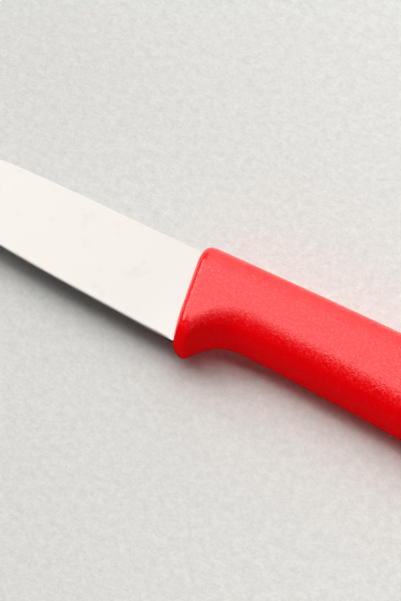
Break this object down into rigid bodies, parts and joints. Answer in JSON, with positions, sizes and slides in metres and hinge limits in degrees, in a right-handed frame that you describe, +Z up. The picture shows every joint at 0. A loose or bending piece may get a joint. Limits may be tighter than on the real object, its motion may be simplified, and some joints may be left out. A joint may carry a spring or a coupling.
{
  "type": "fruit knife",
  "caption": "Small fruit knife lying on its side: flat-ground pointed steel blade, moulded red plastic handle with a guard, a finger notch and a rounded, slightly hooked butt.",
  "frame": {"origin": "centre of the bounding box on the surface that the knife lies on, under the middle of its length and height", "axes": "+X along the knife from the tip to the butt, +Y from the cutting edge to the spine, +Z up through its thickness, as it lies on its side"},
  "size_m": [0.2, 0.0234, 0.012],
  "materials": {
    "blade_steel": "fine-ground stainless steel, satin, with a narrow sharpened bevel",
    "handle_plastic": "red polypropylene moulded against a finely grained mould"
  },
  "bodies": {
    "root": {"blade": "blade_steel", "handle": "handle_plastic"}
  },
  "joints": []
}
